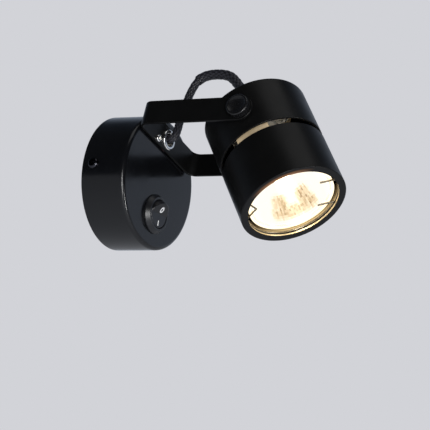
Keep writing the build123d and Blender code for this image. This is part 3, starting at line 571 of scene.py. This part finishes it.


# Stove enamel on pressed steel: smooth, with a faint orange peel that breaks up soft reflections;
# it stops at the ring's mouth, where bare metal shows as thin warm lines around the lamp, and where a
# painted glow of the lamp is emitted on one side of the lip
def satinEnamel(name, color, shade, rough, specular, peel, mouth=None):
    material, tree = startMaterial(name)
    place = addNode(tree, "ShaderNodeTexCoord")
    clouds = addNode(tree, "ShaderNodeTexNoise", inputs={
        "Vector": place.outputs["Object"], "Scale": 1 / (patternSize["enamelClouds"] * mm),
        "Detail": 3.0, "Roughness": 0.55,
    })
    tone = addNode(tree, "ShaderNodeMix", {"data_type": "RGBA"}, {
        0: clouds.outputs["Fac"], 6: hexColor(color), 7: hexColor(shade),
    })
    gloss = addNode(tree, "ShaderNodeMapRange", inputs={
        "Value": clouds.outputs["Fac"], "From Min": 0.3, "From Max": 0.7,
        "To Min": rough - 0.04, "To Max": rough + 0.05,
    })
    skin = addNode(tree, "ShaderNodeTexNoise", inputs={
        "Vector": place.outputs["Object"], "Scale": 1 / (peel * mm), "Detail": 2.0,
    })
    bump = addNode(tree, "ShaderNodeBump", inputs={
        "Height": skin.outputs["Fac"], "Strength": 0.12, "Distance": 0.02 * mm,
    })
    shader = addNode(tree, "ShaderNodeBsdfPrincipled", inputs={
        "Base Color": tone.outputs[2], "Roughness": gloss.outputs[0], "Specular IOR Level": specular,
        "Normal": bump.outputs[0],
    })
    if mouth:
        spoke = addNode(tree, "ShaderNodeVectorMath", {"operation": "SUBTRACT"}, {
            0: place.outputs["Object"], 1: tuple(pivotPoint),
        })
        flat = addNode(tree, "ShaderNodeVectorMath", {"operation": "CROSS_PRODUCT"}, {
            0: spoke.outputs[0], 1: tuple(lampDir),
        })
        reach = addNode(tree, "ShaderNodeVectorMath", {"operation": "LENGTH"}, {0: flat.outputs[0]})
        level = addNode(tree, "ShaderNodeVectorMath", {"operation": "DOT_PRODUCT"}, {
            0: spoke.outputs[0], 1: tuple(lampDir),
        })
        zones = []
        for widest, lowest, highest in mouth["zones"]:
            within = addNode(tree, "ShaderNodeMath", {"operation": "LESS_THAN"}, {
                0: reach.outputs["Value"], 1: widest * mm,
            })
            middle = addNode(tree, "ShaderNodeMath", {"operation": "COMPARE"}, {
                0: level.outputs["Value"], 1: (lowest + highest) / 2 * mm, 2: (highest - lowest) / 2 * mm,
            })
            zones.append(addNode(tree, "ShaderNodeMath", {"operation": "MULTIPLY"}, {
                0: within.outputs[0], 1: middle.outputs[0],
            }))
        metal = addNode(tree, "ShaderNodeMath", {"operation": "MAXIMUM"}, {
            0: zones[0].outputs[0], 1: zones[1].outputs[0],
        })
        color = addNode(tree, "ShaderNodeMix", {"data_type": "RGBA"}, {
            0: metal.outputs[0], 6: tone.outputs[2], 7: hexColor(mouth["metal"]),
        })
        tree.links.new(color.outputs[2], shader.inputs["Base Color"])
        tree.links.new(metal.outputs[0], shader.inputs["Metallic"])
        # painted glow: emission on one side of the lip that stands in for the lit lamp's light falling
        # there
        turn = math.radians(mouth["paintedGlowTurn"])
        paintedGlowDir = acrossDir * math.cos(turn) + lampDir.cross(acrossDir) * math.sin(turn)
        toward = addNode(tree, "ShaderNodeVectorMath", {"operation": "DOT_PRODUCT"}, {
            0: spoke.outputs[0], 1: tuple(paintedGlowDir),
        })
        paintedGlow = mouth["paintedGlowStrength"]
        for measure, (dark, warm) in (
            (toward, mouth["paintedGlowToward"]), (reach, mouth["paintedGlowReach"]), (level, mouth["paintedGlowLevel"]),
        ):
            share = addNode(tree, "ShaderNodeMapRange", inputs={
                "Value": measure.outputs["Value"], "From Min": dark * mm, "From Max": warm * mm,
            })
            product = addNode(tree, "ShaderNodeMath", {"operation": "MULTIPLY"}, {
                0: share.outputs[0], 1: paintedGlow,
            })
            paintedGlow = product.outputs[0]
        tree.links.new(paintedGlow, shader.inputs["Emission Strength"])
        shader.inputs["Emission Color"].default_value = hexColor(mouth["paintedGlowColor"])
    endMaterial(tree, shader)
    return material


# Steel strip and screws, zinc plated: bright, with fine drawn lines and cloudy passivation
def platedSteel(name, color, shade, rough):
    material, tree = startMaterial(name)
    place = addNode(tree, "ShaderNodeTexCoord")
    line, run = patternSize["drawnLine"] * mm, patternSize["drawnRun"] * mm
    stretch = addNode(tree, "ShaderNodeMapping", inputs={
        "Vector": place.outputs["Object"], "Scale": (1 / line, 1 / run, 1 / line),
    })
    lines = addNode(tree, "ShaderNodeTexNoise", inputs={
        "Vector": stretch.outputs[0], "Scale": 1.0, "Detail": 2.0,
    })
    clouds = addNode(tree, "ShaderNodeTexNoise", inputs={
        "Vector": place.outputs["Object"], "Scale": 1 / (patternSize["zincClouds"] * mm), "Detail": 4.0,
    })
    tone = addNode(tree, "ShaderNodeMix", {"data_type": "RGBA"}, {
        0: clouds.outputs["Fac"], 6: hexColor(color), 7: hexColor(shade),
    })
    gloss = addNode(tree, "ShaderNodeMapRange", inputs={
        "Value": lines.outputs["Fac"], "To Min": rough - 0.08, "To Max": rough + 0.1,
    })
    bump = addNode(tree, "ShaderNodeBump", inputs={
        "Height": lines.outputs["Fac"], "Strength": 0.15, "Distance": 0.02 * mm,
    })
    shader = addNode(tree, "ShaderNodeBsdfPrincipled", inputs={
        "Base Color": tone.outputs[2], "Metallic": 1.0, "Roughness": gloss.outputs[0],
        "Normal": bump.outputs[0],
    })
    endMaterial(tree, shader)
    return material


# Yellow passivated zinc on the lamp frame's sheet: dull, warm and slightly blotched
def passivatedSheet():
    material, tree = startMaterial("passivatedSheetSteel")
    place = addNode(tree, "ShaderNodeTexCoord")
    blotches = addNode(tree, "ShaderNodeTexNoise", inputs={
        "Vector": place.outputs["Object"], "Scale": 1 / (patternSize["sheetBlotches"] * mm), "Detail": 4.0,
    })
    tone = addNode(tree, "ShaderNodeMix", {"data_type": "RGBA"}, {
        0: blotches.outputs["Fac"], 6: hexColor("#f0d9b4"), 7: hexColor("#dcc196"),
    })
    shader = addNode(tree, "ShaderNodeBsdfPrincipled", inputs={
        "Base Color": tone.outputs[2], "Metallic": 0.35, "Roughness": 0.55,
    })
    endMaterial(tree, shader)
    return material


# Moulded plastic: an even colour with the fine spark texture of the mould
def mouldedPlastic(name, color, shade, rough, grain):
    material, tree = startMaterial(name)
    place = addNode(tree, "ShaderNodeTexCoord")
    spark = addNode(tree, "ShaderNodeTexVoronoi", inputs={
        "Vector": place.outputs["Object"], "Scale": 1 / (grain * mm),
    })
    clouds = addNode(tree, "ShaderNodeTexNoise", inputs={
        "Vector": place.outputs["Object"], "Scale": 1 / (patternSize["mouldClouds"] * mm), "Detail": 3.0,
    })
    tone = addNode(tree, "ShaderNodeMix", {"data_type": "RGBA"}, {
        0: clouds.outputs["Fac"], 6: hexColor(color), 7: hexColor(shade),
    })
    gloss = addNode(tree, "ShaderNodeMapRange", inputs={
        "Value": clouds.outputs["Fac"], "From Min": 0.3, "From Max": 0.7,
        "To Min": rough - 0.05, "To Max": rough + 0.05,
    })
    bump = addNode(tree, "ShaderNodeBump", inputs={
        "Height": spark.outputs["Distance"], "Strength": 0.12, "Distance": 0.03 * mm,
    })
    shader = addNode(tree, "ShaderNodeBsdfPrincipled", inputs={
        "Base Color": tone.outputs[2], "Roughness": gloss.outputs[0], "Normal": bump.outputs[0],
    })
    endMaterial(tree, shader)
    return material


# Chromium plating on the hub bolt: a mirror with slight waves from the turned steel below
def hubChrome():
    material, tree = startMaterial("chromePlatedSteel")
    place = addNode(tree, "ShaderNodeTexCoord")
    waves = addNode(tree, "ShaderNodeTexNoise", inputs={
        "Vector": place.outputs["Object"], "Scale": 1 / (patternSize["chromeWaves"] * mm), "Detail": 2.0,
    })
    tone = addNode(tree, "ShaderNodeMix", {"data_type": "RGBA"}, {
        0: waves.outputs["Fac"], 6: hexColor("#ffffff"), 7: hexColor("#f4f1ea"),
    })
    gloss = addNode(tree, "ShaderNodeMapRange", inputs={
        "Value": waves.outputs["Fac"], "To Min": 0.1, "To Max": 0.22,
    })
    shader = addNode(tree, "ShaderNodeBsdfPrincipled", inputs={
        "Base Color": tone.outputs[2], "Metallic": 1.0, "Roughness": gloss.outputs[0],
    })
    endMaterial(tree, shader)
    return material


# Polyester braid: dull black yarn, with a painted sheen on the crown of each strand and painted shade in
# the grooves
def polyesterBraid():
    material, tree = startMaterial("polyesterBraid")
    strand = addNode(tree, "ShaderNodeAttribute", {"attribute_name": "strand"})
    place = addNode(tree, "ShaderNodeTexCoord")
    fibres = addNode(tree, "ShaderNodeTexNoise", inputs={
        "Vector": place.outputs["Object"], "Scale": 1 / (patternSize["yarnFibre"] * mm),
        "Detail": 3.0, "Roughness": 0.6,
    })
    # painted shade and sheen: colour follows each strand's height, dark in the grooves and lighter on the
    # crowns
    paintedGrooveShadeAndSheen = addNode(tree, "ShaderNodeMapRange", inputs={
        "Value": strand.outputs["Fac"], "From Min": 0.25, "From Max": 0.95,
    })
    tone = addNode(tree, "ShaderNodeMix", {"data_type": "RGBA"}, {
        0: paintedGrooveShadeAndSheen.outputs[0], 6: hexColor("#030304"), 7: hexColor("#2e2e36"),
    })
    bump = addNode(tree, "ShaderNodeBump", inputs={
        "Height": fibres.outputs["Fac"], "Strength": 0.3, "Distance": 0.05 * mm,
    })
    shader = addNode(tree, "ShaderNodeBsdfPrincipled", inputs={
        "Base Color": tone.outputs[2], "Roughness": 0.4, "Normal": bump.outputs[0],
    })
    endMaterial(tree, shader)
    return material


# Unglazed steatite: off-white, fine and dry, with a few darker specks
def steatite():
    material, tree = startMaterial("unglazedSteatite")
    place = addNode(tree, "ShaderNodeTexCoord")
    specks = addNode(tree, "ShaderNodeTexNoise", inputs={
        "Vector": place.outputs["Object"], "Scale": 1 / (patternSize["steatiteSpeck"] * mm), "Detail": 3.0,
    })
    tone = addNode(tree, "ShaderNodeValToRGB", inputs={"Fac": specks.outputs["Fac"]})
    tone.color_ramp.elements[0].position = 0.3
    tone.color_ramp.elements[0].color = hexColor("#cfc6b4")
    tone.color_ramp.elements[1].position = 0.55
    tone.color_ramp.elements[1].color = hexColor("#e6dfd0")
    bump = addNode(tree, "ShaderNodeBump", inputs={
        "Height": specks.outputs["Fac"], "Strength": 0.2, "Distance": 0.03 * mm,
    })
    shader = addNode(tree, "ShaderNodeBsdfPrincipled", inputs={
        "Base Color": tone.outputs[0], "Roughness": 0.7, "Normal": bump.outputs[0],
    })
    endMaterial(tree, shader)
    return material


# Lit reflector: pressed glass with a bright coating, its brightness a painted reflection of the lit capsule
# that each facet emits on its own
def paintedFacetGlow():
    material, tree = startMaterial("reflectorFacetsPaintedGlow")
    paintedShine = addNode(tree, "ShaderNodeAttribute", {"attribute_name": "paintedShine"})
    tone = addNode(tree, "ShaderNodeValToRGB", inputs={"Fac": paintedShine.outputs["Fac"]})
    tone.color_ramp.elements[0].position = 0.2
    tone.color_ramp.elements[0].color = hexColor("#c39a64")
    tone.color_ramp.elements[1].position = 0.95
    tone.color_ramp.elements[1].color = hexColor("#fffaf0")
    tone.color_ramp.elements.new(0.5).color = hexColor("#e3c698")
    tone.color_ramp.elements.new(0.75).color = hexColor("#fae7c6")
    # painted reflection: the facets emit the capsule's light instead of reflecting it
    power = addNode(tree, "ShaderNodeMapRange", inputs={
        "Value": paintedShine.outputs["Fac"], "From Min": 0.2, "From Max": 1.0, "To Min": 0.8, "To Max": 1.25,
    })
    shader = addNode(tree, "ShaderNodeBsdfPrincipled", inputs={
        "Base Color": hexColor("#2a2118"), "Roughness": 0.15,
        "Emission Color": tone.outputs[0], "Emission Strength": power.outputs[0],
    })
    endMaterial(tree, shader)
    return material


# Aluminised glass: the reflector's bowl and rim, a soft grey mirror with faint wipe marks, and a painted
# warm glow along the rim that stands in for the lit capsule's light reflected there
def aluminisedGlass():
    material, tree = startMaterial("aluminisedGlass")
    place = addNode(tree, "ShaderNodeTexCoord")
    streaks = addNode(tree, "ShaderNodeTexNoise", inputs={
        "Vector": place.outputs["Object"], "Scale": 1 / (patternSize["wipeMark"] * mm), "Detail": 2.0,
    })
    tone = addNode(tree, "ShaderNodeMix", {"data_type": "RGBA"}, {
        0: streaks.outputs["Fac"], 6: hexColor("#cfc8ba"), 7: hexColor("#b7ae9e"),
    })
    gloss = addNode(tree, "ShaderNodeMapRange", inputs={
        "Value": streaks.outputs["Fac"], "To Min": 0.14, "To Max": 0.28,
    })
    level = addNode(tree, "ShaderNodeVectorMath", {"operation": "DOT_PRODUCT"}, {
        0: place.outputs["Object"], 1: tuple(lampDir),
    })
    rim = pivotPoint.dot(lampDir) + (facetShape["lampFront"] - facetShape["mouthDepth"]) * mm
    # painted glow: emission near the rim in place of the capsule's light reflected there
    glow = addNode(tree, "ShaderNodeMapRange", inputs={
        "Value": level.outputs["Value"], "From Min": rim - 1.5 * mm, "From Max": rim, "To Max": 1.5,
    })
    shader = addNode(tree, "ShaderNodeBsdfPrincipled", inputs={
        "Base Color": tone.outputs[2], "Metallic": 1.0, "Roughness": gloss.outputs[0],
        "Emission Color": hexColor("#ffecc8"), "Emission Strength": glow.outputs[0],
    })
    endMaterial(tree, shader)
    return material


# Clear glass: the front disc and the capsule; the capsule is lit from inside
def clearGlass(name, color, glow):
    material, tree = startMaterial(name)
    place = addNode(tree, "ShaderNodeTexCoord")
    waves = addNode(tree, "ShaderNodeTexNoise", inputs={
        "Vector": place.outputs["Object"], "Scale": 1 / (patternSize["glassWave"] * mm), "Detail": 1.0,
    })
    bump = addNode(tree, "ShaderNodeBump", inputs={
        "Height": waves.outputs["Fac"], "Strength": 0.05, "Distance": 0.05 * mm,
    })
    shader = addNode(tree, "ShaderNodeBsdfPrincipled", inputs={
        "Base Color": hexColor(color), "Roughness": 0.02, "IOR": 1.47, "Transmission Weight": 1.0,
        "Normal": bump.outputs[0], "Emission Color": hexColor("#fff1d6"), "Emission Strength": glow,
    })
    endMaterial(tree, shader)
    return material


# Printed marks: a thin white ink, slightly uneven
def whiteInk():
    material, tree = startMaterial("whitePadPrint")
    place = addNode(tree, "ShaderNodeTexCoord")
    uneven = addNode(tree, "ShaderNodeTexNoise", inputs={
        "Vector": place.outputs["Object"], "Scale": 1 / (patternSize["inkSpeck"] * mm), "Detail": 2.0,
    })
    tone = addNode(tree, "ShaderNodeMix", {"data_type": "RGBA"}, {
        0: uneven.outputs["Fac"], 6: hexColor("#d9dadb"), 7: hexColor("#f4f4f3"),
    })
    shader = addNode(tree, "ShaderNodeBsdfPrincipled", inputs={
        "Base Color": tone.outputs[2], "Roughness": 0.55,
    })
    endMaterial(tree, shader)
    return material


# Earth lead: green insulation with a yellow stripe wound along it
def earthInsulation():
    material, tree = startMaterial("stripedInsulation")
    place = addNode(tree, "ShaderNodeTexCoord")
    stripe = addNode(tree, "ShaderNodeTexWave", {"wave_type": "BANDS", "bands_direction": "DIAGONAL"}, {
        "Vector": place.outputs["Object"], "Scale": 1 / (patternSize["leadStripe"] * mm), "Distortion": 0.4,
    })
    tone = addNode(tree, "ShaderNodeValToRGB", inputs={"Fac": stripe.outputs["Fac"]})
    tone.color_ramp.interpolation = "CONSTANT"
    tone.color_ramp.elements[0].color = hexColor("#3c7a2e")
    tone.color_ramp.elements[1].position = 0.6
    tone.color_ramp.elements[1].color = hexColor("#d9c437")
    shader = addNode(tree, "ShaderNodeBsdfPrincipled", inputs={
        "Base Color": tone.outputs[0], "Roughness": 0.45,
    })
    endMaterial(tree, shader)
    return material


baseEnamel = satinEnamel("satinEnamelBase", "#0a0b0d", "#0d0e11", 0.17, 0.45, 0.9)
headEnamel = satinEnamel("matteEnamelHead", "#080808", "#0b0b0b", 0.36, 0.22, 0.7)
ringEnamel = satinEnamel("matteEnamelRing", "#080808", "#0b0b0b", 0.36, 0.22, 0.7, ringMouth)
blackZinc = platedSteel("blackZincScrew", "#4a4a50", "#303035", 0.16)
screwNickel = platedSteel("nickelPlatedScrew", "#efece4", "#dcd8cf", 0.38)
zincSteel = platedSteel("zincPlatedSteel", "#c3c2bb", "#a9a8a2", 0.34)
frameSteel = passivatedSheet()
springSteel = platedSteel("springSteelWire", "#a89d8a", "#857c6c", 0.28)
clampBrass = platedSteel("turnedBrass", "#c8a45c", "#b08a45", 0.3)
blackNylon = mouldedPlastic("blackMouldedNylon", "#0b0b0c", "#111113", 0.27, 0.35)
switchPlastic = mouldedPlastic("blackSwitchPlastic", "#0e0f11", "#15161a", 0.34, 0.4)
bushRubber = mouldedPlastic("blackRubber", "#0c0c0c", "#131313", 0.62, 0.3)
whiteNylon = mouldedPlastic("whiteNylon", "#e2e1da", "#d3d1c8", 0.45, 0.4)
redFibre = mouldedPlastic("vulcanisedFibre", "#3c1712", "#2c100c", 0.75, 0.25)
brownLead = mouldedPlastic("brownInsulation", "#5a3220", "#4a2718", 0.42, 0.5)
blueLead = mouldedPlastic("blueInsulation", "#20489c", "#1a3b82", 0.42, 0.5)
whiteLead = mouldedPlastic("whiteInsulation", "#e8e4da", "#d8d3c6", 0.5, 0.5)
chrome = hubChrome()
braid = polyesterBraid()
ceramic = steatite()
ink = whiteInk()

paint(baseEnamel, nodes["base_cover"])
paint(headEnamel, nodes["yoke"], nodes["rear_can"])
paint(ringEnamel, nodes["front_ring"])
paint(blackZinc, nodes["cover_screws"])
paint(screwNickel, nodes["holder_screws"])
paint(zincSteel, *[nodes[name] for name in (
    "wall_bracket", "earth_screw", "block_screws", "terminal_screws", "switch_tabs", "spring_washer",
    "stop_washer", "hub_nut", "pivot_nuts", "near_stud", "far_stud", "lamp_pins",
)])
paint(frameSteel, nodes["lamp_frame"])
paint(springSteel, nodes["retaining_clip"])
paint(clampBrass, nodes["terminal_clamps"])
paint(blackNylon, nodes["near_knob"], nodes["far_knob"], nodes["pivot_saddles"])
paint(switchPlastic, nodes["switch_housing"], nodes["switch_rocker"])
paint(bushRubber, nodes["cable_bush"])
paint(whiteNylon, nodes["terminal_block"])
paint(redFibre, nodes["fibre_washer"])
paint(chrome, nodes["hub_bolt"], nodes["yoke_earth_screw"])
paint(ceramic, nodes["lampholder"], nodes["lamp_base"])
paint(whiteLead, nodes["holder_leads"])
paint(aluminisedGlass(), nodes["lamp_reflector"])
paint(paintedFacetGlow(), facets)
paint(clearGlass("frontGlass", "#fffaf0", 0.0), nodes["lamp_glass"])
paint(clearGlass("litCapsule", "#fff6e6", 4.0), nodes["lamp_capsule"])
paint(braid, *flexPieces)
paint(ink, *marks)
paint(brownLead, leads["lead_live"], leads["lead_switched"])
paint(blueLead, leads["lead_neutral"])
paint(earthInsulation(), leads["lead_earth"])
print("materials painted:", len(bpy.data.materials))

# Studio: pale floor well below the light, pale surroundings that deepen to grey on one side, soft panels
studio = {
    "floorLevel": -0.62,
    "floorSize": 40.0,
    "floor": "#cfd3db",
    "floorRough": 0.8,
    "paleSide": (0.75, 0.25, -0.6),  # the surroundings are palest in this direction
    "slope": 0.6,  # how far towards that side, and away from it, they still change
    "pale": "#d2d3d8",
    "mirrored": "#bfc7d4",
    "middle": "#8590a2",
    "middleAt": 0.6,
    "dusky": "#3a4350",
    "duskyAt": 0.4,
    "deep": "#0e1014",
    "light": 0.75,
    "aim": 0.5,  # panels aim at this share of the way from the wall to the head's pivot
}
softPanels = {
    "leftStrip": {"towards": (-0.75, -0.66, -0.24), "away": 1.1, "size": (0.1, 0.55), "watts": 6.5},
    "frontStrip": {"towards": (0.0, -1.0, -0.22), "away": 1.1, "size": (0.07, 0.5), "watts": 4},
    "topPanel": {"towards": (-0.2, -0.35, 0.9), "away": 1.3, "size": (0.9, 0.9), "watts": 1.8},
}


def addStudio():
    deselectAll()
    bpy.ops.mesh.primitive_plane_add(size=studio["floorSize"], location=(0, 0, studio["floorLevel"]))
    floor = bpy.context.object
    floor.name = "floor"
    material, tree = startMaterial("paleFloor")
    shader = addNode(tree, "ShaderNodeBsdfPrincipled", inputs={
        "Base Color": hexColor(studio["floor"]), "Roughness": studio["floorRough"],
    })
    endMaterial(tree, shader)
    paint(material, floor)
    world = bpy.data.worlds.new("surround")
    bpy.context.scene.world = world
    world.use_nodes = True
    tree = world.node_tree
    tree.nodes.clear()
    place = addNode(tree, "ShaderNodeTexCoord")
    slope = addNode(tree, "ShaderNodeVectorMath", {"operation": "DOT_PRODUCT"}, {
        0: place.outputs["Generated"], 1: studio["paleSide"],
    })
    share = addNode(tree, "ShaderNodeMapRange", inputs={
        "Value": slope.outputs["Value"], "From Min": -studio["slope"], "From Max": studio["slope"],
    })
    tone = addNode(tree, "ShaderNodeValToRGB", inputs={"Fac": share.outputs[0]})
    tone.color_ramp.elements[0].color = hexColor(studio["deep"])
    tone.color_ramp.elements[1].color = hexColor(studio["mirrored"])
    tone.color_ramp.elements.new(studio["duskyAt"]).color = hexColor(studio["dusky"])
    tone.color_ramp.elements.new(studio["middleAt"]).color = hexColor(studio["middle"])
    path = addNode(tree, "ShaderNodeLightPath")
    seenTone = addNode(tree, "ShaderNodeMix", {"data_type": "RGBA"}, {
        0: path.outputs["Is Camera Ray"], 6: tone.outputs[0], 7: hexColor(studio["pale"]),
    })
    seen = addNode(tree, "ShaderNodeBackground", inputs={"Color": seenTone.outputs[2], "Strength": 1.0})
    light = addNode(tree, "ShaderNodeBackground", inputs={"Strength": studio["light"]})
    mirrored = addNode(tree, "ShaderNodeMath", {"operation": "MAXIMUM"}, {
        0: path.outputs["Is Glossy Ray"], 1: path.outputs["Is Transmission Ray"],
    })
    direct = addNode(tree, "ShaderNodeMath", {"operation": "MAXIMUM"}, {
        0: path.outputs["Is Camera Ray"], 1: mirrored.outputs[0],
    })
    both = addNode(tree, "ShaderNodeMixShader", inputs={
        0: direct.outputs[0], 1: light.outputs[0], 2: seen.outputs[0],
    })
    addNode(tree, "ShaderNodeOutputWorld", inputs={"Surface": both.outputs[0]})
    centre = pivotPoint * studio["aim"]
    for name, panel in softPanels.items():
        data = bpy.data.lights.new(name, "AREA")
        data.shape = "RECTANGLE"
        data.size, data.size_y = panel["size"]
        data.energy = panel["watts"]
        lamp = bpy.data.objects.new(name, data)
        bpy.context.scene.collection.objects.link(lamp)
        lamp.visible_camera = False
        towards = Vector(panel["towards"]).normalized()
        turn = towards.to_track_quat("Z", "Y").to_matrix().to_4x4()
        lamp.matrix_world = Matrix.Translation(centre + towards * panel["away"]) @ turn
    bpy.context.scene.view_settings.view_transform = "Standard"


addStudio()
print("studio lit")
